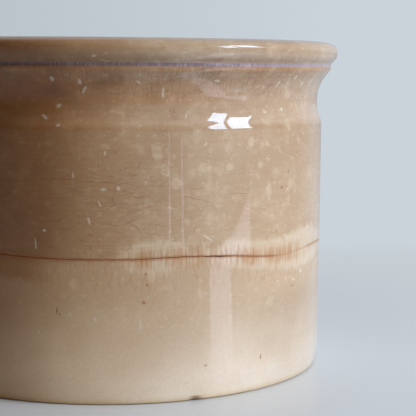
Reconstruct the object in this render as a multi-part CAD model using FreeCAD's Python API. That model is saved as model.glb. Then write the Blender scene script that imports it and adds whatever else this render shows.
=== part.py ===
"""A jam pot: one turned pot of glazed white earthenware, made as one solid.

The pot is a straight-sided cylinder that tapers a little to its foot. A shallow waist is turned
into it below the rim, where a paper or cloth cover is tied down. The rim is a rounded roll, set
off from the waist by a thin groove and a fine bead. Inside, the wall runs plain from the rounded
lip down to a rounded corner and a flat floor. Underneath, a flat foot ring stands round a shallow
recess.

Millimetres. +Z is up, the origin is the centre of the foot ring's plane, and the pot is a solid
of revolution about Z. Heights are measured from the foot ring's plane, radii from the axis, and
a point of the half section is (radius, height).
"""

import FreeCAD
import Part

import math
import os

# Overall sizes
HEIGHT = 75.3
BODY_RADIUS = 48.0  # at the shoulder, the widest place of the wall
WALL = 4.8  # from the outside at the shoulder to the inner wall
FLOOR = 5.6  # from the foot ring's plane to the inside floor

# Body
SHOULDER_BELOW_TOP = 18.1  # the body's upper edge, below the rim's top
BODY_TAPER = 0.5  # the outside is this much narrower at the heel than at the shoulder
SHOULDER_EDGE_RADIUS = 0.35
INNER_DRAFT = 0.6  # the inner wall is this much narrower at the floor than at the lip
INNER_CORNER_RADIUS = 6.0

# Heel and foot
HEEL_HEIGHT = 7.0
HEEL_INSET = 0.6  # the wall draws in by this much from the heel to the foot
FOOT_EDGE_RADIUS = 0.6
FOOT_RING_WIDTH = 4.0
FOOT_RECESS_DEPTH = 1.2
FOOT_RECESS_RADIUS = 1.1

# Rim
ROLL_RADIUS = 2.7
ROLL_OVERHANG = 3.7  # the roll stands out past the shoulder by this much
LIP_RADIUS = 3.6  # the rounding of the lip's inner side

# Waist, from the shoulder up to the groove under the roll
WAIST_DEPTH = 1.0  # the waist's narrowest radius is this much less than the shoulder's
WAIST_LAND = 1.1  # the height of the waist's straight, narrowest stretch
SHOULDER_SLOPE_ANGLE = 20.0  # from the vertical, where the waist starts above the shoulder
SHOULDER_SLOPE_RADIUS = 6.0
FLARE_ANGLE = 32.0  # from the vertical, where the waist runs out to the bead
FLARE_RADIUS = 9.2
BEAD_RADIUS = 0.6
BEAD_BELOW_ROLL = 3.15  # from the roll's centre down to the bead's centre
GROOVE_RADIUS = 0.4  # the hollow between the bead and the roll

SAME_POINT = 1e-6  # two points nearer than this are one


class Outline:
    """A half section in the XZ plane, drawn edge by edge from a start point."""

    def __init__(self, start):
        self.start = start
        self.at = start
        self.edges = []

    def line_to(self, point):
        """A straight edge to point. Nothing is drawn where the outline is there already."""
        if math.dist(self.at, point) > SAME_POINT:
            self.edges.append(Part.LineSegment(vector(self.at), vector(point)).toShape())
        self.at = point

    def arc_to(self, middle, point):
        """A circular edge through middle to point."""
        self.edges.append(Part.Arc(vector(self.at), vector(middle), vector(point)).toShape())
        self.at = point

    def round_about(self, centre, radius, first, last):
        """A line to the arc about centre that runs from angle first to angle last, and the arc."""
        self.line_to(on_circle(centre, radius, first))
        self.arc_to(on_circle(centre, radius, (first + last) / 2), on_circle(centre, radius, last))

    def revolved(self):
        """The closed outline turned once round the axis."""
        self.line_to(self.start)
        face = Part.Face(Part.Wire(self.edges))
        return face.revolve(FreeCAD.Vector(0, 0, 0), FreeCAD.Vector(0, 0, 1), 360)


def vector(point):
    """A (radius, height) point as a vector in the XZ plane."""
    return FreeCAD.Vector(point[0], 0, point[1])


def on_circle(centre, radius, degrees):
    """The point on a circle at an angle counted from outwards towards upwards."""
    angle = math.radians(degrees)
    return (centre[0] + radius * math.cos(angle), centre[1] + radius * math.sin(angle))


def bearing(centre, point):
    """The angle, in degrees from outwards towards upwards, at which point lies from centre."""
    return math.degrees(math.atan2(point[1] - centre[1], point[0] - centre[0]))


def outer_tangent_centre(first, first_radius, second, second_radius, radius):
    """The centre of the circle that touches two others from outside, on the side away from the axis."""
    near = first_radius + radius
    far = second_radius + radius
    apart = math.dist(first, second)
    along = (near**2 - far**2 + apart**2) / (2 * apart)
    aside = math.sqrt(near**2 - along**2)
    step = ((second[0] - first[0]) / apart, (second[1] - first[1]) / apart)
    out = (-step[1], step[0]) if step[1] < 0 else (step[1], -step[0])
    return (
        first[0] + along * step[0] + aside * out[0],
        first[1] + along * step[1] + aside * out[1],
    )


def draw_foot(outline, heel):
    """The recess, the foot ring and its outer edge, from the axis outwards."""
    ring_outer = heel[0] - HEEL_INSET - FOOT_EDGE_RADIUS
    ring_inner = ring_outer - FOOT_RING_WIDTH
    recess_corner = (ring_inner - FOOT_RECESS_RADIUS, FOOT_RECESS_DEPTH - FOOT_RECESS_RADIUS)
    outline.round_about(recess_corner, FOOT_RECESS_RADIUS, 90, 0)
    outline.line_to((ring_inner, 0))
    outline.round_about((ring_outer, FOOT_EDGE_RADIUS), FOOT_EDGE_RADIUS, -90, 0)


def draw_wall(outline, heel, shoulder):
    """The heel's curve, the straight wall and the shoulder's rounded edge."""
    # The heel's arc ends upright, so its centre is level with the heel's top.
    rise = heel[1] - outline.at[1]
    heel_radius = (HEEL_INSET**2 + rise**2) / (2 * HEEL_INSET)
    heel_centre = (heel[0] - heel_radius, heel[1])
    outline.round_about(heel_centre, heel_radius, bearing(heel_centre, outline.at), 0)
    lean = math.atan2(shoulder[0] - heel[0], shoulder[1] - heel[1])
    setback = SHOULDER_EDGE_RADIUS * math.tan((math.radians(SHOULDER_SLOPE_ANGLE) + lean) / 2)
    edge_start = (shoulder[0] - setback * math.sin(lean), shoulder[1] - setback * math.cos(lean))
    edge_centre = on_circle(edge_start, -SHOULDER_EDGE_RADIUS, -math.degrees(lean))
    outline.round_about(
        edge_centre, SHOULDER_EDGE_RADIUS, -math.degrees(lean), SHOULDER_SLOPE_ANGLE
    )


def draw_waist(outline, shoulder):
    """The slope up from the shoulder, the narrowest stretch and the flare above it."""
    waist = shoulder[0] - WAIST_DEPTH
    slope = math.radians(SHOULDER_SLOPE_ANGLE)
    slope_inset = WAIST_DEPTH - SHOULDER_SLOPE_RADIUS * (1 - math.cos(slope))
    land = shoulder[1] + slope_inset / math.tan(slope) + SHOULDER_SLOPE_RADIUS * math.sin(slope)
    outline.round_about(
        (waist + SHOULDER_SLOPE_RADIUS, land), SHOULDER_SLOPE_RADIUS, 180 + SHOULDER_SLOPE_ANGLE, 180
    )
    outline.round_about((waist + FLARE_RADIUS, land + WAIST_LAND), FLARE_RADIUS, 180, 180 - FLARE_ANGLE)


def draw_rim(outline, roll):
    """The bead where the flare ends, the groove, the roll and the lip's rounded inner side."""
    flare_end = outline.at
    height = roll[1] - BEAD_BELOW_ROLL
    # The bead's circle touches the flare's straight end from inside.
    touch = height - BEAD_RADIUS * math.sin(math.radians(FLARE_ANGLE))
    rise = touch - flare_end[1]
    touch_radius = flare_end[0] + rise * math.tan(math.radians(FLARE_ANGLE))
    bead = (touch_radius - BEAD_RADIUS * math.cos(math.radians(FLARE_ANGLE)), height)
    groove = outer_tangent_centre(roll, ROLL_RADIUS, bead, BEAD_RADIUS, GROOVE_RADIUS)
    outline.round_about(bead, BEAD_RADIUS, -FLARE_ANGLE, bearing(bead, groove))
    outline.round_about(groove, GROOVE_RADIUS, 360 + bearing(groove, bead), bearing(groove, roll))
    outline.round_about(roll, ROLL_RADIUS, bearing(roll, groove), 90)
    inner_radius = BODY_RADIUS - WALL
    outline.round_about((inner_radius + LIP_RADIUS, HEIGHT - LIP_RADIUS), LIP_RADIUS, 90, 180)


def draw_inside(outline):
    """The inner wall, the rounded corner and the floor, in to the axis."""
    corner = BODY_RADIUS - WALL - INNER_DRAFT - INNER_CORNER_RADIUS
    outline.round_about((corner, FLOOR + INNER_CORNER_RADIUS), INNER_CORNER_RADIUS, 0, -90)
    outline.line_to((0, FLOOR))


def make_pot():
    """The whole pot as one solid of revolution."""
    heel = (BODY_RADIUS - BODY_TAPER, HEEL_HEIGHT)
    shoulder = (BODY_RADIUS, HEIGHT - SHOULDER_BELOW_TOP)
    roll = (BODY_RADIUS + ROLL_OVERHANG - ROLL_RADIUS, HEIGHT - ROLL_RADIUS)
    outline = Outline((0, FOOT_RECESS_DEPTH))
    draw_foot(outline, heel)
    draw_wall(outline, heel, shoulder)
    draw_waist(outline, shoulder)
    draw_rim(outline, roll)
    draw_inside(outline)
    return outline.revolved()


os.makedirs("parts", exist_ok=True)
pot = make_pot()
pot.exportStep("parts/pot.step")
print("pot", "valid" if pot.isValid() else "not valid", round(pot.Volume / 1000, 1), "cm3")
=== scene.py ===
"""An old jam pot of glazed white earthenware, stained tan, crazed all over and cracked round."""

import math

import bpy
import numpy as np
from mathutils import Matrix, Vector


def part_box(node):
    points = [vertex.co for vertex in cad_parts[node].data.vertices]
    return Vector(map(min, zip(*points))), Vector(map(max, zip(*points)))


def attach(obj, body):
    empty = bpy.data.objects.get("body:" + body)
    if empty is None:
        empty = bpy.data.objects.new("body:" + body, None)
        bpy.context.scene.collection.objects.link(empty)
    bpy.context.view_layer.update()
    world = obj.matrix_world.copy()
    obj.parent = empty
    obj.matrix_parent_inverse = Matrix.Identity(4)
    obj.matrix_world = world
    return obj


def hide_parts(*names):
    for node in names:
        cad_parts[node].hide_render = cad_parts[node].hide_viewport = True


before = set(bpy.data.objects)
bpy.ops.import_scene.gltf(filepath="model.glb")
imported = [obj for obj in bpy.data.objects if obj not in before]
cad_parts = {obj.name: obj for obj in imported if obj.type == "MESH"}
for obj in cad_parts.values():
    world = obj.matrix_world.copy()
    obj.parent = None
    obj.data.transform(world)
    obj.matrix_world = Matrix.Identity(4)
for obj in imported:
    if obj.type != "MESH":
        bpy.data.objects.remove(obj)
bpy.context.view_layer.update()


# ---------------------------------------------------------------------------------------------
# The view and the stage. The camera stands close, just below the rim's height, and looks past
# the pot's right side. The pot stands on a pale lacquered table in front of a plain pale wall.

MM = 0.001


def linear(hex_colour):
    """An sRGB hex colour as linear RGBA: below 0.04045 the code is divided by 12.92, above it the
    code plus 0.055 is divided by 1.055 and raised to 2.4."""
    codes = np.array([int(hex_colour[i : i + 2], 16) for i in (1, 3, 5)]) / 255
    values = np.where(codes <= 0.04045, codes / 12.92, ((codes + 0.055) / 1.055) ** 2.4)
    return (*values.tolist(), 1.0)


def add_node(tree, kind, inputs=(), links=(), **settings):
    """Adds a node. inputs sets its input sockets' own values, links joins other nodes' output
    sockets to its inputs, and settings sets its properties."""
    node = tree.nodes.new(kind)
    for name, value in settings.items():
        setattr(node, name, value)
    for socket, value in dict(inputs).items():
        node.inputs[socket].default_value = value
    for socket, source in dict(links).items():
        tree.links.new(source, node.inputs[socket])
    return node


def empty_material(name):
    """A new material with nothing in its node tree, and the tree."""
    material = bpy.data.materials.new(name)
    material.use_nodes = True
    material.node_tree.nodes.clear()
    return material, material.node_tree


CAMERA_DISTANCE = 312.3 * MM
CAMERA_HEIGHT = 70.8 * MM
CAMERA_LENS = 113.9  # mm, as the sensor's width is
CAMERA_SENSOR = 36
CAMERA_DOWN = 0.1125  # radians, as the next two are
CAMERA_RIGHT = 0.0684
CAMERA_ROLL = 0.001

forward = Vector(
    (
        math.sin(CAMERA_RIGHT) * math.cos(CAMERA_DOWN),
        math.cos(CAMERA_RIGHT) * math.cos(CAMERA_DOWN),
        -math.sin(CAMERA_DOWN),
    )
)
right = forward.cross(Vector((0, 0, 1))).normalized()
up = right.cross(forward)
turn = Matrix((right, up, -forward)).transposed() @ Matrix.Rotation(-CAMERA_ROLL, 3, "Z")
camera = bpy.data.objects.new("camera", bpy.data.cameras.new("camera"))
camera.data.lens = CAMERA_LENS
camera.data.sensor_width = CAMERA_SENSOR
camera.data.clip_start = 10 * MM
camera.data.clip_end = 20  # metres
camera.matrix_world = Matrix.Translation((0, -CAMERA_DISTANCE, CAMERA_HEIGHT)) @ turn.to_4x4()
bpy.context.scene.collection.objects.link(camera)
bpy.context.scene.camera = camera
bpy.context.scene.view_settings.view_transform = "Standard"

# The table top: a flat board in pale satin lacquer, which mirrors the pot softly. Near the pot it
# is lit and shaded by the lamps. Further off the eye sees it at the even tone of a bright room,
# which turns into the wall's a little way behind the pot.
FLOOR_REACH = 3.0  # metres from its middle to each side
LIT_WITHIN = 50 * MM
EVEN_BEYOND = 170 * MM
TABLE_FADES = 140 * MM
TABLE_ENDS = 195 * MM
TABLE_TONE = "#C6CDD3"
WALL_TONE = "#CAD3DA"
bpy.ops.mesh.primitive_plane_add(size=2 * FLOOR_REACH)
floor = bpy.context.object
floor.name = "floor"
material, tree = empty_material("pale_lacquered_table")
where = add_node(tree, "ShaderNodeTexCoord")
light_path = add_node(tree, "ShaderNodeLightPath")
apart = add_node(tree, "ShaderNodeSeparateXYZ", links={0: where.outputs["Object"]})
distance = add_node(
    tree, "ShaderNodeVectorMath", operation="LENGTH", links={0: where.outputs["Object"]}
)
far = add_node(
    tree,
    "ShaderNodeMapRange",
    {"From Min": LIT_WITHIN, "From Max": EVEN_BEYOND},
    {"Value": distance.outputs["Value"]},
    interpolation_type="SMOOTHSTEP",
)
behind = add_node(
    tree,
    "ShaderNodeMapRange",
    {"From Min": TABLE_FADES, "From Max": TABLE_ENDS},
    {"Value": apart.outputs["Y"]},
    interpolation_type="SMOOTHSTEP",
)
tone = add_node(
    tree,
    "ShaderNodeMix",
    {6: linear(TABLE_TONE), 7: linear(WALL_TONE)},
    {0: behind.outputs["Result"]},
    data_type="RGBA",
)
even = add_node(tree, "ShaderNodeEmission", links={"Color": tone.outputs[2]})
lacquer = add_node(
    tree,
    "ShaderNodeBsdfPrincipled",
    {"Base Color": linear("#CFD5D9"), "Roughness": 0.22, "IOR": 1.45},
)
seen_even = add_node(
    tree,
    "ShaderNodeMath",
    operation="MULTIPLY",
    links={0: far.outputs["Result"], 1: light_path.outputs["Is Camera Ray"]},
)
surface = add_node(
    tree,
    "ShaderNodeMixShader",
    links={0: seen_even.outputs[0], 1: lacquer.outputs["BSDF"], 2: even.outputs["Emission"]},
)
add_node(tree, "ShaderNodeOutputMaterial", links={"Surface": surface.outputs["Shader"]})
floor.data.materials.append(material)

# The window is to the right of the camera and above the pot. A soft lamp of its size lights the
# pot, and two bright panes with a bar between them are what the glaze mirrors. Their corners and
# the window's middle are azimuth, to the right of the camera's side, and elevation in degrees.
WINDOW_DISTANCE = 0.9
WINDOW_MIDDLE = (64.0, 25.0)
WINDOW_SIZE = (0.42, 0.46)
WINDOW_STRENGTH = 15.0
PANE_STRENGTH = 1.15 * WINDOW_STRENGTH
AIM_HEIGHT = 50 * MM
PANES = (
    ((52.4, 11.8), (61.5, 13.8), (62.5, 38), (61.2, 34), (59.6, 29.4), (51.6, 27.8)),
    ((64.4, 20.5), (76.3, 18.7), (77.8, 14.8), (78.6, 20), (78, 40), (64.8, 40)),
)

# Window light that lies on the table in strips, which only the glaze mirrors: corners in mm.
GLINT_HEIGHT = 0.2 * MM
TABLE_GLINTS = (
    ((32, -54), (150, -152), (176, -118), (36, -45)),
    ((150, -152), (389, -129), (205, -78), (176, -118)),
    ((106, -237), (340, -700), (346, -696), (110, -236)),
    ((132, -221), (410, -640), (416, -636), (136, -219)),
)


def from_pot(azimuth, elevation, distance):
    """The point at this azimuth and elevation, in degrees, and distance from the pot's axis at
    the aim height: distance times sine, minus cosine and sine of the two angles."""
    azimuth, elevation = math.radians(azimuth), math.radians(elevation)
    flat = math.cos(elevation)
    towards = (math.sin(azimuth) * flat, -math.cos(azimuth) * flat, math.sin(elevation))
    return Vector(towards) * distance + Vector((0, 0, AIM_HEIGHT))


def mirrored_only(name, points, faces, material):
    """A new flat object that shows only in reflections."""
    mesh = bpy.data.meshes.new(name)
    mesh.from_pydata(points, [], faces)
    mesh.materials.append(material)
    piece = bpy.data.objects.new(name, mesh)
    piece.visible_camera = False
    piece.visible_diffuse = False
    piece.visible_shadow = False
    bpy.context.scene.collection.objects.link(piece)
    return piece


lamp = bpy.data.lights.new("window_light", "AREA")
lamp.shape = "RECTANGLE"
lamp.size, lamp.size_y = WINDOW_SIZE
lamp.energy = WINDOW_STRENGTH * math.pi * lamp.size * lamp.size_y
lamp.color = linear("#F0F5FF")[:3]
window_light = bpy.data.objects.new("window_light", lamp)
window_light.location = from_pot(*WINDOW_MIDDLE, WINDOW_DISTANCE)
window_light.rotation_euler = from_pot(*WINDOW_MIDDLE, 1).to_track_quat("Z", "Y").to_euler()
window_light.visible_glossy = False
window_light.visible_camera = False
bpy.context.scene.collection.objects.link(window_light)

# The sky through the panes: an even, slightly blue white.
material, tree = empty_material("bright_sky")
sky = add_node(
    tree, "ShaderNodeEmission", {"Color": linear("#CBE4FF"), "Strength": PANE_STRENGTH}
)
add_node(tree, "ShaderNodeOutputMaterial", links={"Surface": sky.outputs["Emission"]})
for number, corners in enumerate(PANES):
    points = [from_pot(*corner, WINDOW_DISTANCE) for corner in corners]
    pane = mirrored_only(f"window_pane_{number}", points, [list(range(len(points)))], material)

# The strips are brighter away from the pot, and only their upper side shines.
material, tree = empty_material("window_light_on_the_table")
where = add_node(tree, "ShaderNodeTexCoord")
from_axis = add_node(
    tree, "ShaderNodeVectorMath", operation="LENGTH", links={0: where.outputs["Object"]}
)
strength = add_node(
    tree,
    "ShaderNodeMapRange",
    {"From Min": 70 * MM, "From Max": 140 * MM, "To Min": 1.6, "To Max": 3.2},
    {"Value": from_axis.outputs["Value"]},
)
light = add_node(
    tree,
    "ShaderNodeEmission",
    {"Color": linear("#E6E8FF")},
    {"Strength": strength.outputs["Result"]},
)
side = add_node(tree, "ShaderNodeNewGeometry")
clear = add_node(tree, "ShaderNodeBsdfTransparent")
one_sided = add_node(
    tree,
    "ShaderNodeMixShader",
    links={0: side.outputs["Backfacing"], 1: light.outputs["Emission"], 2: clear.outputs["BSDF"]},
)
add_node(tree, "ShaderNodeOutputMaterial", links={"Surface": one_sided.outputs["Shader"]})
corners = np.array(TABLE_GLINTS, float).reshape(-1, 2) * MM
points = np.column_stack((corners, np.full(len(corners), GLINT_HEIGHT)))
faces = np.arange(len(points)).reshape(-1, 4)
glints = mirrored_only("table_glints", points.tolist(), faces.tolist(), material)

# The room: pale walls seen straight, and as light a soft fill that is strongest from the right
# and from behind, and weak from the dark side of the room at the front left.
BRIGHT_SIDE = math.radians(125)  # azimuth to the right of the camera's side
ROOM_DIMMEST = 0.16
ROOM_BRIGHTEST = 0.72
world = bpy.data.worlds.new("pale_room")
world.use_nodes = True
tree = world.node_tree
tree.nodes.clear()
light_path = add_node(tree, "ShaderNodeLightPath")
where = add_node(tree, "ShaderNodeTexCoord")
towards_bright = add_node(
    tree,
    "ShaderNodeVectorMath",
    {1: (math.sin(BRIGHT_SIDE), -math.cos(BRIGHT_SIDE), 0.15)},
    {0: where.outputs["Generated"]},
    operation="DOT_PRODUCT",
)
brightness = add_node(
    tree,
    "ShaderNodeMapRange",
    {"From Min": -0.6, "From Max": 0.9, "To Min": ROOM_DIMMEST, "To Max": ROOM_BRIGHTEST},
    {"Value": towards_bright.outputs["Value"]},
    interpolation_type="SMOOTHSTEP",
)
warmth = add_node(
    tree,
    "ShaderNodeMapRange",
    {"From Min": -0.6, "From Max": 0.5},
    {"Value": towards_bright.outputs["Value"]},
)
room = add_node(
    tree,
    "ShaderNodeMix",
    {6: linear("#FFD9AC"), 7: linear("#E4ECF6")},
    {0: warmth.outputs["Result"]},
    data_type="RGBA",
)
fill = add_node(
    tree,
    "ShaderNodeBackground",
    links={"Color": room.outputs[2], "Strength": brightness.outputs["Result"]},
)
direction = add_node(tree, "ShaderNodeSeparateXYZ", links={0: where.outputs["Generated"]})
sideways = add_node(
    tree,
    "ShaderNodeMapRange",
    {"From Min": -0.12, "From Max": 0.16},
    {"Value": direction.outputs["X"]},
)
wall = add_node(
    tree,
    "ShaderNodeMix",
    {6: linear("#BAC2C9"), 7: linear(WALL_TONE)},
    {0: sideways.outputs["Result"]},
    data_type="RGBA",
)
wall_seen = add_node(tree, "ShaderNodeBackground", links={"Color": wall.outputs[2]})
mixed = add_node(
    tree,
    "ShaderNodeMixShader",
    links={
        0: light_path.outputs["Is Camera Ray"],
        1: fill.outputs["Background"],
        2: wall_seen.outputs["Background"],
    },
)
add_node(tree, "ShaderNodeOutputWorld", links={"Surface": mixed.outputs["Shader"]})
bpy.context.scene.world = world


# ---------------------------------------------------------------------------------------------
# The pot: white earthenware, thrown and turned in one piece, with a rolled rim over a tie-down
# waist. Its surface is a profile carried round the axis, cut by a hairline crack that runs round
# the wall. The clear glaze over it is crazed, and tea-brown stain has crept in under it.

top_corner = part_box("pot")[1]
HEIGHT = top_corner.z / MM
RIM_RADIUS = top_corner.x / MM
RIM_OVERHANG = 3.7
SHOULDER_RADIUS = RIM_RADIUS - RIM_OVERHANG
HEEL_RADIUS = SHOULDER_RADIUS - 0.5
HEEL_INSET = 0.6  # how far the wall draws in below its foot
HEEL_ROUND = 0.6
RING_RADIUS = 42.3  # the foot ring's inner edge
RECESS = 1.2  # height of the hollow under the base
RECESS_ROUND = 1.1
WALL_FOOT = 7.0  # height where the wall stops drawing in
WALL_TOP = 56.4
SHOULDER = 56.67
SHOULDER_ROUND = 0.35
WAIST_RADIUS = 46.95
FLARE_ROUND = 9.4
LEDGE = 69.6  # height of the bead under the roll
BEAD_ROUND = 1.92
INSIDE_RADIUS = 43.15
INSIDE_TAPER = 0.5  # how much narrower it is at the bottom
INSIDE_FLOOR = 5.6
INSIDE_ROUND = 6
RIM_TILT = 0.0099  # the rim is this much lower for each mm to the right
COLUMNS = 640  # quads round the pot

# The crack runs along one row of the wall's points, and is a groove as deep as half its width.
CRACK_ROW = 30.0  # the row's height before it is bent to follow the crack
CRACK_REACH = 11.0  # rows within this many mm of it are bent along
CRACK_EDGE = 0.12  # distance of the rows beside it, which move to the crack's own edges
CRACK_JAG = 0.035  # mm by which it strays from its path at random
CHIP_PLACE = 19.5  # degrees, as the next one is
CHIP_WIDTH = 1.5
CHIP_DEPTH = 0.25

# Each list is read round the pot, in degrees from the front towards the right: the crack's
# height, half its width, and how far the glaze above and below it is bleached, all in mm.
CRACK_PATH = (
    (-150, 30.2), (-100, 31.0), (-60, 30.5), (-31, 30.85), (-21, 30.5), (-13, 30.4), (5, 30.35),
    (11, 30.6), (16, 30.65), (22, 30.5), (30, 30.1), (37, 29.5), (46, 28.8), (52, 28.9), (58, 29.3),
    (69, 29.6), (80, 29.1), (115, 29.5), (150, 30.4),
)
CRACK_HALF_WIDTH = (
    (-135, 0.02), (-100, 0.04), (-30, 0.045), (-12, 0.035), (0, 0.04), (12, 0.06), (22, 0.075),
    (27, 0.11), (30, 0.045), (40, 0.035), (46, 0.022), (58, 0.021), (64, 0.026), (110, 0.03),
    (135, 0.02),
)
PALE_ABOVE = (
    (-6, 0.0), (-1, 0.8), (1, 2.6), (4, 4.2), (8, 4.8), (12, 4.6), (15, 3.7), (18, 1.8), (22, 1.7),
    (25, 2.8), (29, 3.6), (42, 3.9), (50, 4.8), (62, 5.2), (75, 3.0), (95, 0.0),
)
PALE_BELOW = (
    (-6, 0.0), (-1, 0.9), (3, 2.8), (7, 3.5), (12, 3.5), (16, 2.6), (19, 1.4), (24, 1.2), (28, 3.0),
    (45, 3.6), (54, 4.6), (62, 4.8), (75, 2.4), (95, 0.0),
)


def arc(centre, radius, first, last, count):
    """Points on a circle from angle first to angle last, in degrees from outwards towards up:
    centre plus radius times cosine and sine."""
    turned = np.radians(np.linspace(first, last, count))
    return np.stack((centre[0] + radius * np.cos(turned), centre[1] + radius * np.sin(turned)), 1)


def level(first, last, height, count):
    """Points evenly spaced on a level line between two radii."""
    return np.stack((np.linspace(first, last, count), np.full(count, height)), 1)


def slope(start, start_lean, end, end_lean, count):
    """Points on the cubic in height that joins start and end (radius, height) and leans outwards by
    start_lean and end_lean, in mm of radius per mm of height, at its two ends."""
    rise = end[1] - start[1]
    t = np.linspace(0, 1, count)
    radii = (
        (2 * t**3 - 3 * t**2 + 1) * start[0]
        + (t**3 - 2 * t**2 + t) * rise * start_lean
        + (3 * t**2 - 2 * t**3) * end[0]
        + (t**3 - t**2) * rise * end_lean
    )
    return np.stack((radii, start[1] + rise * t), 1)


def wall_rows():
    """The wall's points: close together at the crack and up to 2 mm apart elsewhere, on a line
    that leans out evenly from the heel's radius at the wall's foot towards the shoulder's."""
    near = np.array([0.0, CRACK_EDGE, 0.3, 0.7, 1.4, 2.4, 4.0, 6.0, 8.0, 10.0])
    below = np.concatenate((np.arange(WALL_FOOT, CRACK_ROW - 10.5, 2.0), CRACK_ROW - near[:0:-1]))
    over = np.concatenate((CRACK_ROW + near, np.arange(CRACK_ROW + 12, WALL_TOP - 1, 2.0)))
    heights = np.concatenate((below, over, [WALL_TOP - 0.7, WALL_TOP]))
    lean = (SHOULDER_RADIUS - HEEL_RADIUS) / (WALL_TOP + 0.8 - WALL_FOOT)
    return np.stack((HEEL_RADIUS + (heights - WALL_FOOT) * lean, heights), 1)


def pot_profile():
    """The half section's points (radius, height) in mm: recess, foot ring, wall, waist, rim and
    inside, each a straight run, an arc or a cubic, in order from the axis underneath to the axis
    inside. The wall draws in at its foot by the square of the depth below it."""
    heel = np.arange(1.4, WALL_FOOT - 0.5, 1.0)
    drawn_in = ((WALL_FOOT - heel) / (WALL_FOOT - HEEL_ROUND)) ** 2
    heel_middle = (HEEL_RADIUS - HEEL_INSET - HEEL_ROUND, HEEL_ROUND)
    step, neck, waist = (47.985, 56.78), (47.53, 58.15), (WAIST_RADIUS, 61.6)
    inside = np.linspace(INSIDE_RADIUS, INSIDE_RADIUS - INSIDE_TAPER, 8)
    corner = INSIDE_RADIUS - INSIDE_TAPER - INSIDE_ROUND - 0.05
    parts = [
        level(8, 40, RECESS, 5),
        arc((RING_RADIUS - RECESS_ROUND, RECESS - RECESS_ROUND), RECESS_ROUND, 90, 0, 5),
        level(RING_RADIUS, RING_RADIUS, 0, 1),
        level(RING_RADIUS + 1, 46.0, 0, 3),
        arc(heel_middle, HEEL_ROUND, -75, 0, 5),
        np.stack((HEEL_RADIUS - HEEL_INSET * drawn_in, heel), 1),
        wall_rows(),
        arc((SHOULDER_RADIUS - SHOULDER_ROUND, SHOULDER), SHOULDER_ROUND, 0, 17, 3),
        slope(step, -0.305, neck, -0.36, 7)[1:],
        slope(neck, -0.36, waist, 0, 11)[1:],
        arc((WAIST_RADIUS + FLARE_ROUND, 61.7), FLARE_ROUND, 178, 142, 10),
        arc((48.23, LEDGE), BEAD_ROUND, -38, 2, 6),
        level(50.12, 50.12, LEDGE + 0.35, 1),
        arc((48.7, HEIGHT - 2.4), 3.0, -50, 0, 9),  # the roll: its underside,
        arc((50.1, HEIGHT - 2.15), 1.6, 8, 68, 9),  # its outer edge,
        arc((47.25, HEIGHT - 9.2), 9.2, 71, 90, 5),  # its top
        arc((46.8, HEIGHT - 3.6), 3.6, 97, 180, 8),  # and its inner edge
        np.stack((inside, np.linspace(68, 14, 8)), 1),
        arc((corner, INSIDE_FLOOR + INSIDE_ROUND), INSIDE_ROUND, 0, -90, 6),
        level(32, 8, INSIDE_FLOOR, 4),
    ]
    return np.concatenate(parts)


def round_the_pot(points):
    """The values (degrees, value) at every column: straight lines between the points, joined
    round the back, then averaged over the neighbouring columns with a smooth window."""
    degrees, values = np.array(points).T
    line = np.interp(np.degrees(angles), degrees, values, period=360)
    reach = 6  # columns to each side
    window = np.hanning(2 * reach + 1)
    joined = np.concatenate((line[-reach:], line, line[:reach]))
    return np.convolve(joined, window / window.sum(), "valid")


angles = np.linspace(-math.pi, math.pi, COLUMNS, endpoint=False)
chance = np.random.default_rng(11)
profile = pot_profile()

# The length along the profile, counted so that it is the crack row's height at the crack row.
lengths = np.concatenate(([0.0], np.hypot(*np.diff(profile, axis=0).T).cumsum()))
lengths += CRACK_ROW - lengths[np.isclose(profile[:, 1], CRACK_ROW)][0]

# The rows near the crack are bent along it by a smooth step, the two beside it move to its edges
# and its own row sinks in. The chip lifts the foot's outer edge by a bell curve round the pot.
radius = np.repeat(profile[:, :1], COLUMNS, 1)
height = np.repeat(profile[:, 1:], COLUMNS, 1)
on_wall = (radius > SHOULDER_RADIUS - 1) & (height > WALL_FOOT) & (height < WALL_TOP + 0.1)
offset = height - CRACK_ROW
bend = np.clip(1 - np.abs(offset) / CRACK_REACH, 0, 1)
bend = bend**2 * (3 - 2 * bend) * on_wall
jag = np.convolve(chance.normal(0, CRACK_JAG, COLUMNS), (0.25, 0.5, 0.25), "same")
height = height + (round_the_pot(CRACK_PATH) - CRACK_ROW + jag) * bend
half_width = round_the_pot(CRACK_HALF_WIDTH)
edge_rows = on_wall & np.isclose(np.abs(offset), CRACK_EDGE)
height = height + edge_rows * np.sign(offset) * (half_width - CRACK_EDGE)
radius = radius - on_wall * np.isclose(offset, 0) * half_width
chip = np.exp(-(((np.degrees(angles) - CHIP_PLACE) / CHIP_WIDTH) ** 2))
foot_rows = (radius > HEEL_RADIUS - 2.5) & (height < 1.5 * HEEL_ROUND)
height = height + CHIP_DEPTH * chip * foot_rows

# Each point is the radius times sine and minus cosine of its angle, at its height.
x = radius * np.sin(angles)
y = -radius * np.cos(angles)
z = height - RIM_TILT * x * height / HEIGHT
grid = np.stack((x, y, z), 2).reshape(-1, 3) * MM
rows = len(profile)
poles = np.array([(0, 0, RECESS), (0, 0, INSIDE_FLOOR)]) * MM
index = np.arange(rows * COLUMNS).reshape(rows, COLUMNS)
after = np.roll(index, -1, 1)
quads = np.stack((index[:-1], after[:-1], after[1:], index[1:]), 2).reshape(-1, 4)
first_pole = rows * COLUMNS
fans = np.concatenate(
    (
        np.stack((np.full(COLUMNS, first_pole), after[0], index[0]), 1),
        np.stack((np.full(COLUMNS, first_pole + 1), index[-1], after[-1]), 1),
    )
)
mesh = bpy.data.meshes.new("pot_glazed")
mesh.from_pydata(np.concatenate((grid, poles)).tolist(), [], quads.tolist() + fans.tolist())
mesh.shade_smooth()
pot = bpy.data.objects.new("pot_glazed", mesh)
bpy.context.scene.collection.objects.link(pot)

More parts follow.
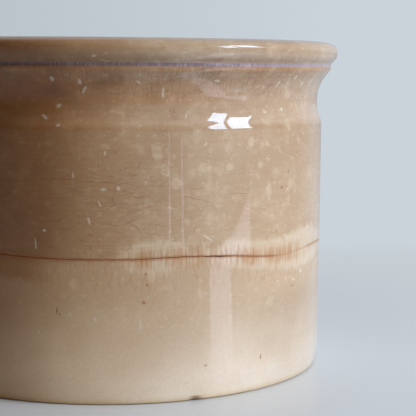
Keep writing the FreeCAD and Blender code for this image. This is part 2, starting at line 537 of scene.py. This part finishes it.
# A map in mm: round the wall, and along the profile with the crack at its own height. The recess
# and the floor inside are laid flat, well away from the wall's part of the map.
FLAT_AWAY = 300.0
FLAT_RECESS = RING_RADIUS - 0.8  # radius that is laid flat underneath
FLAT_FLOOR = 37.0  # and inside
turned = np.stack((angles, angles + math.tau / COLUMNS), 1) * SHOULDER_RADIUS
u = np.broadcast_to(turned[:, (0, 1, 1, 0)], (rows - 1, COLUMNS, 4))
ends = np.stack((lengths[:-1], lengths[:-1], lengths[1:], lengths[1:]), 1)
v = np.broadcast_to(ends[:, None, :], u.shape)
wall_map = np.stack((u, v), 3).reshape(-1, 2)
corners = np.concatenate((quads.ravel(), fans.ravel()))
glaze_map = np.concatenate((grid, poles))[corners, :2] / MM + FLAT_AWAY
flat_radius = np.where(profile[1:, 1] < INSIDE_FLOOR / 2, FLAT_RECESS, FLAT_FLOOR)
flat_rows = np.maximum(profile[:-1, 0], profile[1:, 0]) <= flat_radius
is_flat = np.repeat(flat_rows, COLUMNS * 4)
glaze_map[: len(wall_map)][~is_flat] = wall_map[~is_flat]
layer = mesh.uv_layers.new(name="glaze_map")
layer.data.foreach_set("uv", glaze_map.ravel())
for name, values in (
    ("crack_half_width", half_width),
    ("pale_above", round_the_pot(PALE_ABOVE)),
    ("pale_below", round_the_pot(PALE_BELOW)),
    ("chip", chip),
):
    attribute = mesh.attributes.new(name, "FLOAT", "POINT")
    attribute.data.foreach_set("value", np.concatenate((np.tile(values, rows), (0, 0))))

# The glaze. Colours by height in mm first, then the stains, the crack with its pale bleached band,
# the crazing and the small marks, each laid over the ones before. A mark is an oval: degrees round
# the pot, height, half its width and half its length in mm, and its top's lean to the right in
# degrees.
STAIN = (
    (0.0, "#C4A87C"), (0.5, "#DCCAAC"), (1.5, "#E8DCC9"), (5.0, "#E8DCCB"), (9.0, "#DFD0BC"),
    (15.0, "#D0BDA5"), (21.0, "#C4AC90"), (26.5, "#C1A88B"), (31.0, "#BEA688"), (35.0, "#B99F81"),
    (45.0, "#B49A7C"), (56.2, "#B49A7C"), (56.9, "#AE9273"), (58.1, "#BAA38A"), (62.0, "#B2987D"),
    (65.5, "#B39A80"), (68.2, "#B29578"), (69.0, "#AC8964"), (69.8, "#9C826A"), (70.7, "#A3896E"),
    (72.2, "#AA9378"), (73.6, "#B19A80"), (75.3, "#B19A80"),
)
WHITE_FLECKS = (
    (-15.5, 66.9, 0.55, 0.9, 0), (-9, 66.3, 0.4, 1.1, -15), (-8, 64.8, 0.35, 1.1, 25),
    (-14.5, 61.7, 0.4, 0.9, 60), (-18, 59.1, 0.4, 0.9, -60), (-14.5, 57.8, 0.8, 0.45, 0),
    (11, 64.3, 0.5, 1.6, -6), (17, 59.7, 0.3, 0.7, 20), (25, 66.5, 0.9, 0.45, 0),
    (51.5, 67.4, 0.5, 0.9, 20), (57, 65.8, 0.5, 1.1, 20), (45, 66, 0.4, 0.8, 30),
    (41, 60.1, 0.9, 0.45, 0), (48, 60.4, 0.7, 0.8, -20), (5, 66.4, 0.35, 0.8, -60),
    (-3, 51.9, 0.3, 0.6, 0), (-11, 47.6, 0.3, 0.9, -12), (22, 53.9, 0.35, 0.6, 40),
    (3, 27.9, 0.3, 1.0, 0), (5, 16.7, 0.35, 1.5, 6), (-12, 19.2, 0.3, 0.8, 0),
    (-6, 18.2, 0.45, 0.5, 0), (-20.5, 15.1, 0.3, 0.5, 0), (60.5, 26.9, 0.5, 2.0, 0),
    (57.5, 24.7, 0.8, 0.9, 0), (53.5, 23.2, 0.8, 0.6, 0), (46, 23.8, 0.4, 0.4, 0),
    (22.7, 34.2, 0.35, 1.8, -65), (-20.7, 33.1, 0.3, 1.7, -15), (-18.4, 35.8, 0.45, 0.5, 0),
    (-4.4, 41.8, 0.3, 1.0, -28), (-7, 38.2, 0.3, 1.1, -10), (0, 45.1, 0.5, 0.45, 0),
    (-3.6, 44.6, 0.8, 0.35, 0), (-5.5, 10, 1.3, 0.3, 20), (-5, 71.4, 0.6, 0.35, 0),
)
SOFT_PATCHES = (
    (21.5, 48.8, 2.4, 1.3, 0), (29, 48.8, 1.2, 1.1, 0), (38.5, 48.9, 1.1, 1.0, 0),
    (42, 43.2, 1.0, 2.6, 0), (14.5, 45.9, 1.6, 1.6, 0), (35.5, 53.6, 1.3, 1.9, 0),
    (43, 19.4, 1.5, 1.7, 0), (-11, 25.1, 1.1, 1.5, 0), (8, 26.6, 1.0, 1.6, 0),
    (-3, 53.5, 1.2, 1.0, 0), (9.5, 52.2, 1.6, 2.0, 0), (11.5, 48.6, 1.4, 1.8, 0),
    (-17.5, 41.9, 1.0, 0.8, 0), (17, 37.6, 1.0, 1.0, 0), (-3, 70.5, 1.3, 0.4, 0),
    (9, 70.4, 0.8, 0.45, 0),
    (-24, 54, 1.6, 0.4, 0), (-19.5, 53.3, 0.6, 0.8, 0), (-13, 7.5, 1.5, 0.4, 15),
    (-6.5, 5.7, 1.5, 0.5, 0), (41, 53.3, 1.1, 0.6, 30), (65, 34.3, 1.0, 1.3, 0),
    (20.5, 22.7, 0.9, 1.3, 0), (50.8, 63.3, 1.3, 1.1, 0), (-26, 43.7, 1.1, 0.8, 0),
)
HAIRLINES = (
    (18, 42.8, 0.14, 2.2, 104), (21.5, 42, 0.1, 2.4, 104), (20, 44.6, 0.1, 2.4, 92),
    (31.5, 43.1, 0.1, 3.4, 92), (27.5, 35.5, 0.1, 1.6, 92), (-14, 46.7, 0.12, 3.4, 92),
    (-5, 46.2, 0.11, 5.4, 94), (5, 43.2, 0.1, 2.6, 95), (3.7, 37.1, 0.12, 2.4, 128),
    (-21.5, 39.9, 0.1, 1.6, 92), (-1, 37.3, 0.1, 2.2, 95), (-27, 48.4, 0.1, 2.8, 91),
    (5, 49.5, 0.1, 1.2, 30), (19, 35.7, 0.1, 1.4, 15),
)
BROWN_SPOTS = ((14, 59.9, 1.4, 1.4, 0), (23, 71, 2.2, 0.7, 0), (-9, 71, 2.4, 0.6, 0))
IRON_SPECKS = (
    (6, 21.6, 0.55, 0.45, 0), (7, 25.1, 0.4, 0.35, 0), (6.7, 27, 0.3, 0.3, 0),
    (47, 43.7, 0.45, 0.5, 0), (39.5, 7.6, 0.3, 0.8, 15), (22, 7.4, 0.5, 0.25, 0),
    (53, 21.6, 0.6, 0.3, 0), (45, 35, 0.3, 0.35, 0), (-0.7, 52.5, 0.5, 0.2, 0),
)
DARK_SPECKS = ((-15.5, 19.8, 0.16, 0.7, 0), (-14.8, 19, 0.28, 0.25, 0), (50, 47, 0.2, 0.7, 0))


def band(tree, value, low, high, edge):
    """1 where value is between low and high, falling smoothly to 0 over edge outside them. An end
    that is None is left open."""
    ends = []
    if low is not None:
        ends.append({"From Min": low - edge, "From Max": low})
    if high is not None:
        ends.append({"From Min": high, "From Max": high + edge, "To Min": 1, "To Max": 0})
    shares = []
    for end in ends:
        ease = {"interpolation_type": "SMOOTHSTEP"}
        share = add_node(tree, "ShaderNodeMapRange", end, {"Value": value}, **ease)
        shares.append(share.outputs["Result"])
    if len(shares) == 1:
        return shares[0]
    pair = {0: shares[0], 1: shares[1]}
    return add_node(tree, "ShaderNodeMath", links=pair, operation="MULTIPLY").outputs[0]


def patches(tree, place, size, first, last, detail=2):
    """Noise of the given size along each axis, in the units of place, as a share that rises
    smoothly from 0 to 1 between two of its values."""
    drawn_out = add_node(
        tree,
        "ShaderNodeVectorMath",
        {1: [1 / length for length in size]},
        {0: place},
        operation="MULTIPLY",
    )
    noise = add_node(
        tree,
        "ShaderNodeTexNoise",
        {"Scale": 1.0, "Detail": detail},
        {"Vector": drawn_out.outputs[0]},
    )
    return band(tree, noise.outputs[0], last, None, last - first)


def crazing(tree, place, width, length, line):
    """Fine lines along the edges of random cells of the given width and length in mm."""
    drawn_out = add_node(
        tree,
        "ShaderNodeVectorMath",
        {1: (1 / width, 1 / length, 0)},
        {0: place},
        operation="MULTIPLY",
    )
    cells = add_node(
        tree,
        "ShaderNodeTexVoronoi",
        {"Scale": 1.0},
        {"Vector": drawn_out.outputs[0]},
        voronoi_dimensions="2D",
        feature="DISTANCE_TO_EDGE",
    )
    return band(tree, cells.outputs["Distance"], None, 0, line)


def marks(tree, place, spots):
    """1 in the middle of the listed small ovals, falling to 0 just inside their edges. Each is a
    round gradient, stretched and leaned by its own mapping, and the brightest one counts."""
    brightest = None
    for degrees, height, width, length, lean in spots:
        oval = add_node(
            tree, "ShaderNodeTexGradient", links={"Vector": place}, gradient_type="SPHERICAL"
        )
        mapping = oval.texture_mapping
        mapping.vector_type = "TEXTURE"
        mapping.translation = (math.radians(degrees) * SHOULDER_RADIUS, along(height), 0)
        mapping.rotation = (0, 0, math.radians(-lean))
        mapping.scale = (width, length, 1)
        share = oval.outputs["Fac"]
        if brightest is not None:
            pair = {0: brightest, 1: share}
            share = add_node(tree, "ShaderNodeMath", links=pair, operation="MAXIMUM").outputs[0]
        brightest = share
    return band(tree, brightest, 0.5, None, 0.45)


def along(height):
    """The map's second coordinate at a height on the outside, read off the profile."""
    crest = profile[:, 1].argmax()
    start = np.flatnonzero(profile[:, 1] == 0).max()
    return float(np.interp(height, profile[start : crest + 1, 1], lengths[start : crest + 1]))


def lay(tree, under, hex_colour, strength, *masks, blend="MIX"):
    """The colour socket under with a colour laid over it, by strength times all the masks."""
    share = add_node(
        tree, "ShaderNodeMath", {1: strength}, {0: masks[0]}, operation="MULTIPLY"
    ).outputs[0]
    for mask in masks[1:]:
        pair = {0: mask, 1: share}
        share = add_node(tree, "ShaderNodeMath", links=pair, operation="MULTIPLY").outputs[0]
    return add_node(
        tree,
        "ShaderNodeMix",
        {7: linear(hex_colour)},
        {0: share, 6: under},
        data_type="RGBA",
        blend_type=blend,
    ).outputs[2]


# The material is a clear glaze over white earthenware, glossy and crazed with age. To the eye it
# is glass-smooth, and the stain shows through it as soft browns. Its marks wander by up to 0.7 mm
# either way, so that none has a drawn edge.
WANDER = 1.4
WANDER_SIZE = 2.5
DRIFT = 3.0
RAMP_LENGTH = 100.0  # mm of the map's height over the whole ramp
material, tree = empty_material("crackled_earthenware_glaze")
where = add_node(tree, "ShaderNodeTexCoord").outputs["Object"]
flat = add_node(tree, "ShaderNodeUVMap", uv_map="glaze_map").outputs["UV"]
apart = add_node(tree, "ShaderNodeSeparateXYZ", links={0: flat})
across, upward = apart.outputs["X"], apart.outputs["Y"]
wander = add_node(
    tree, "ShaderNodeTexNoise", {"Scale": 1 / (WANDER_SIZE * MM), "Detail": 2}, {"Vector": where}
)
moved = add_node(
    tree, "ShaderNodeVectorMath", {1: (-WANDER / 2, -WANDER / 2, 0)}, {0: flat}, operation="ADD"
)
wandered = add_node(
    tree,
    "ShaderNodeVectorMath",
    {1: (WANDER, WANDER, 0)},
    {0: wander.outputs["Color"], 2: moved.outputs[0]},
    operation="MULTIPLY_ADD",
)
place = wandered.outputs[0]

# The stain by height. Its bands drift up and down the wall by up to 3 mm.
drift = add_node(
    tree, "ShaderNodeTexNoise", {"Scale": 1 / (24 * MM), "Detail": 3}, {"Vector": where}
)
drift = add_node(
    tree,
    "ShaderNodeMapRange",
    {"From Min": 0.3, "From Max": 0.7, "To Min": -DRIFT, "To Max": DRIFT},
    {"Value": drift.outputs[0]},
)
drifted = add_node(
    tree,
    "ShaderNodeMath",
    operation="MULTIPLY_ADD",
    links={0: drift.outputs["Result"], 1: band(tree, upward, 9, 50, 6), 2: upward},
)
position = add_node(
    tree, "ShaderNodeMath", {1: 1 / RAMP_LENGTH}, {0: drifted.outputs[0]}, operation="MULTIPLY"
)
ramp = add_node(tree, "ShaderNodeValToRGB", links={"Fac": position.outputs[0]})
elements = ramp.color_ramp.elements
elements.remove(elements[1])
elements[0].position = along(STAIN[0][0]) / RAMP_LENGTH
elements[0].color = linear(STAIN[0][1])
for up_wall, hex_colour in STAIN[1:]:
    elements.new(along(up_wall) / RAMP_LENGTH).color = linear(hex_colour)
colour = ramp.outputs["Color"]

# Mottling of the whole glaze: stains the size of a thumb, clouds and smudges of a few mm, and a
# grain that is finer on the real glaze and is drawn as coarse as it needs to show. What is drawn
# on the map fades out at the back, where the map's ends meet.
upper_part = band(tree, upward, along(31), along(75.2), 3)
lower_part = band(tree, upward, -1, along(25), 6)
stains = patches(tree, where, [16 * MM] * 3, 0.38, 0.66)
colour = lay(tree, colour, "#C8A88C", 0.2, stains, upper_part, blend="MULTIPLY")
colour = lay(tree, colour, "#E2CCB0", 0.25, stains, lower_part, blend="MULTIPLY")
clouds = patches(tree, where, [3.5 * MM] * 3, 0.48, 0.85)
colour = lay(tree, colour, "#D8C6AC", 0.34, clouds, upper_part)
colour = lay(tree, colour, "#DCCBB2", 0.3, marks(tree, place, SOFT_PATCHES))
clear_of_join = band(tree, across, -132, 132, 14)
smudges = patches(tree, flat, (1.7, 1.3, 1), 0.57, 0.72)
colour = lay(tree, colour, "#DCCDB6", 0.25, smudges, clear_of_join)
grain = patches(tree, where, [0.55 * MM] * 3, 0.3, 0.75)
colour = lay(tree, colour, "#DCC8B4", 0.18, grain, blend="MULTIPLY")
brush = patches(tree, flat, (6, 0.9, 1), 0.45, 0.7, detail=3)
colour = lay(tree, colour, "#C8A080", 0.12, brush, upper_part, clear_of_join, blend="MULTIPLY")

# The waist and the rim: a mottled painted shade under the bead and under the roll, painted shade at
# their left, a tan and a blue line at the foot of the roll.
ticks = patches(tree, flat, (0.45, 6.0, 1.0), 0.45, 0.65)
shade_mottle = patches(tree, where, [5 * MM] * 3, 0.46, 0.66, detail=4)
under_ledge = band(tree, upward, along(65), along(68.2), 4)
left_half_shade = band(tree, across, -45, 10, 26)
# Painted shade under the bead on the left half, mottled and streaked with fine ticks.
colour = lay(tree, colour, "#6E4C30", 0.42, shade_mottle, under_ledge, left_half_shade)
colour = lay(tree, colour, "#A58468", 0.14, ticks, under_ledge, left_half_shade, blend="MULTIPLY")
rim_part = band(tree, upward, along(69.4), along(75.6), 0.9)
waist_part = band(tree, upward, along(62.6), along(66), 1.5)
# The rim, the waist and the ledge are painted darker and warmer at the left: painted shade.
left_third_shade = band(tree, across, -45, -20, 17)
colour = lay(tree, colour, "#DCC8BA", 1.0, left_third_shade, rim_part, blend="MULTIPLY")
colour = lay(tree, colour, "#FFF0DC", 1.0, left_half_shade, waist_part, blend="MULTIPLY")
ledge_part = band(tree, upward, along(61), along(68.5), 1.5)
colour = lay(tree, colour, "#FFF8E2", 1.0, left_third_shade, ledge_part, blend="MULTIPLY")
# Painted shade under the roll, mottled, and painted paler on the right half: painted light.
roll_below = band(tree, upward, along(70.4), along(71.9), 0.7)
colour = lay(tree, colour, "#7A5C46", 0.32, shade_mottle, roll_below)
right_half_lit = band(tree, across, 16, 110, 20)
colour = lay(tree, colour, "#E6D6C4", 0.13, roll_below, right_half_lit)
tan_line = band(tree, upward, along(68.7), along(69.35), 0.35)
colour = lay(tree, colour, "#B88458", 0.3, tan_line, ticks, clear_of_join)
blue_line = band(tree, upward, along(69.7), along(70.1), 0.35)
colour = lay(tree, colour, "#9288A2", 0.5, blue_line)
# On the left the blue line is painted darker: painted shade.
colour = lay(tree, colour, "#5A4A54", 0.55, blue_line, left_half_shade)
colour = lay(tree, colour, "#BDB4C4", 0.35, blue_line, ticks, clear_of_join)
# Further left it is painted darker still: painted shade.
colour = lay(tree, colour, "#4A3428", 0.4, blue_line, left_third_shade)

# Beside the crack the glaze is bleached in a band with a ragged edge, which is its palest part.
above_crack = add_node(
    tree, "ShaderNodeMath", {1: CRACK_ROW}, {0: upward}, operation="SUBTRACT"
).outputs[0]
from_crack = add_node(
    tree, "ShaderNodeMath", operation="ABSOLUTE", links={0: above_crack}
).outputs[0]
width_here = add_node(tree, "ShaderNodeAttribute", attribute_name="crack_half_width")
pale_above = add_node(tree, "ShaderNodeAttribute", attribute_name="pale_above")
pale_below = add_node(tree, "ShaderNodeAttribute", attribute_name="pale_below")
bleached = add_node(
    tree,
    "ShaderNodeMix",
    links={
        0: band(tree, above_crack, 0, None, 0.05),
        2: pale_below.outputs["Fac"],
        3: pale_above.outputs["Fac"],
    },
    data_type="FLOAT",
)
ragged = add_node(
    tree,
    "ShaderNodeMath",
    {1: 2.4},
    {0: wander.outputs[0], 2: from_crack},
    operation="MULTIPLY_ADD",
)
inside_band = add_node(
    tree,
    "ShaderNodeMath",
    operation="SUBTRACT",
    links={0: bleached.outputs[0], 1: ragged.outputs[0]},
)
pale = band(tree, inside_band.outputs[0], 0.6, None, 2.2)
colour = lay(tree, colour, "#D8C8B0", 0.42, pale)
pale_edge = band(tree, inside_band.outputs[0], -0.2, 1.2, 0.9)
colour = lay(tree, colour, "#DECFB9", 0.16, pale_edge)

# The wall is painted browner and darker at the left of the front: painted shade for the side turned
# away from the window. Near the foot it is a little darker and greyer at its right, and at the far
# right it is painted paler: a painted sheen.
left_side_shade = band(tree, across, -45, -16, 34)
colour = lay(tree, colour, "#FFF1DC", 1.0, left_side_shade, blend="MULTIPLY")
far_left_shade = band(tree, across, -45, -30, 22)
colour = lay(tree, colour, "#DACEC4", 1.0, far_left_shade, blend="MULTIPLY")
left_wall_shade = band(tree, across, -45, -18, 17)
wall_part = band(tree, upward, along(31), along(67.5), 3)
colour = lay(tree, colour, "#DECBB8", 1.0, left_wall_shade, wall_part, blend="MULTIPLY")
front_left = band(tree, across, -14, -1, 6)
colour = lay(tree, colour, "#F8F3EE", 1.0, front_left, upper_part, blend="MULTIPLY")
right_side = band(tree, across, 44, 110, 22)
foot_part = band(tree, upward, -1, along(17), 8)
colour = lay(tree, colour, "#ECEAEA", 1.0, right_side, foot_part, blend="MULTIPLY")
# At the far right the glaze is painted paler and greyer: a painted sheen for the bright room it
# mirrors at that edge.
far_right_sheen = band(tree, across, 58, 110, 14)
colour = lay(tree, colour, "#D8D4D0", 0.14, far_right_sheen)
left_below_crack = band(tree, across, -45, -22, 11)
brown_below = band(tree, upward, 26.6, 29.4, 2.4)
colour = lay(tree, colour, "#DCC29C", 0.8, left_below_crack, brown_below, blend="MULTIPLY")

# Brown has soaked out of the crack: streaks up and down the wall, and a glow along it.
open_crack = band(tree, width_here.outputs["Fac"], 0.03, None, 0.012)
at_crack = band(tree, above_crack, -0.6, 0.6, 2.6)
cracked_side = band(tree, across, 4, 44, 7)
soaked = patches(tree, flat, (3.5, 9.0, 1), 0.4, 0.62)
smears = patches(tree, flat, (0.55, 9.0, 1), 0.4, 0.68)
colour = lay(tree, colour, "#B5834F", 0.45, soaked, at_crack, cracked_side)
colour = lay(tree, colour, "#A4703F", 0.5, smears, at_crack, cracked_side)
near_crack = band(tree, above_crack, -5.0, 3.0, 3.0)
upright_lines = crazing(tree, place, 1.1, 14.0, 0.07)
colour = lay(tree, colour, "#A0714A", 0.3, upright_lines, near_crack, clear_of_join)
brown_edge = band(tree, from_crack, None, 0.14, 0.5)
colour = lay(tree, colour, "#9A5A2A", 0.5, brown_edge, open_crack)

# The crazing: a net of fine lines under the ledge and on the wall, and long level lines at the left
# of the front. The real lines are finer, and are drawn as wide as they need to show.
crazed = patches(tree, where, [4 * MM] * 3, 0.42, 0.6, detail=3)
net = crazing(tree, place, 2.7, 1.7, 0.035)
colour = lay(tree, colour, "#94603A", 0.42, net, crazed, upper_part, clear_of_join)
colour = lay(tree, colour, "#6E4630", 0.3, net, under_ledge, clear_of_join)
tide = band(tree, upward, along(33), along(48), 4)
lined_part = band(tree, across, -26, 4, 14)
long_lines = crazing(tree, place, 8.0, 0.9, 0.06)
colour = lay(tree, colour, "#7C4E30", 0.3, long_lines, tide, lined_part)
colour = lay(tree, colour, "#7E5236", 0.3, upright_lines, under_ledge, clear_of_join)
colour = lay(tree, colour, "#8A5430", 0.6, marks(tree, place, HAIRLINES))

# The crack itself, the small marks and the foot.
crack = band(tree, from_crack, None, 0.1, 0.04)
wide_crack = band(tree, width_here.outputs["Fac"], 0.092, None, 0.02)
dark_crack = add_node(
    tree, "ShaderNodeMath", operation="MULTIPLY", links={0: crack, 1: open_crack}
).outputs[0]
colour = lay(tree, colour, "#5E2A12", 0.9, dark_crack)
# Under the same painted sheen the crack is greyer at the far right.
colour = lay(tree, colour, "#8A7666", 0.9, dark_crack, far_right_sheen)
colour = lay(tree, colour, "#1E1210", 0.95, dark_crack, wide_crack)
colour = lay(tree, colour, "#D6CDBA", 0.5, marks(tree, place, WHITE_FLECKS))
colour = lay(tree, colour, "#8A6248", 0.45, marks(tree, place, BROWN_SPOTS), grain)
colour = lay(tree, colour, "#9A6426", 0.7, marks(tree, place, IRON_SPECKS))
colour = lay(tree, colour, "#4A3A28", 0.7, marks(tree, place, DARK_SPECKS))
foot_edge = band(tree, upward, -0.5, 0.7, 0.5)
chip_share = add_node(tree, "ShaderNodeAttribute", attribute_name="chip").outputs["Fac"]
colour = lay(tree, colour, "#7A5030", 0.7, foot_edge, chip_share)
foot_ring = band(tree, upward, -4.5, -0.6, 0.3)
colour = lay(tree, colour, "#CDBB9F", 1.0, foot_ring)

# The glaze is glassy and very slightly uneven. The bare foot ring and the crack are dull.
RIPPLE_SIZE = 7 * MM
RIPPLE_DEPTH = 0.03 * MM
ripple = add_node(
    tree, "ShaderNodeTexNoise", {"Scale": 1 / RIPPLE_SIZE, "Detail": 1}, {"Vector": where}
)
bump = add_node(
    tree,
    "ShaderNodeBump",
    {"Strength": 1.0, "Distance": RIPPLE_DEPTH},
    {"Height": ripple.outputs[0]},
)
unglazed = band(tree, from_crack, None, 0.2, 0.1)
dull = add_node(tree, "ShaderNodeMath", operation="MAXIMUM", links={0: foot_ring, 1: unglazed})
roughness = add_node(
    tree, "ShaderNodeMapRange", {"To Min": 0.04, "To Max": 0.85}, {"Value": dull.outputs[0]}
)
sheen = add_node(
    tree, "ShaderNodeMapRange", {"To Min": 0.5, "To Max": 0.1}, {"Value": dull.outputs[0]}
)
shader = add_node(
    tree,
    "ShaderNodeBsdfPrincipled",
    {"IOR": 1.5},
    {
        "Base Color": colour,
        "Roughness": roughness.outputs["Result"],
        "Specular IOR Level": sheen.outputs["Result"],
        "Normal": bump.outputs[0],
    },
)
add_node(tree, "ShaderNodeOutputMaterial", links={"Surface": shader.outputs["BSDF"]})
mesh.materials.append(material)
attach(pot, "root")
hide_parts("pot")
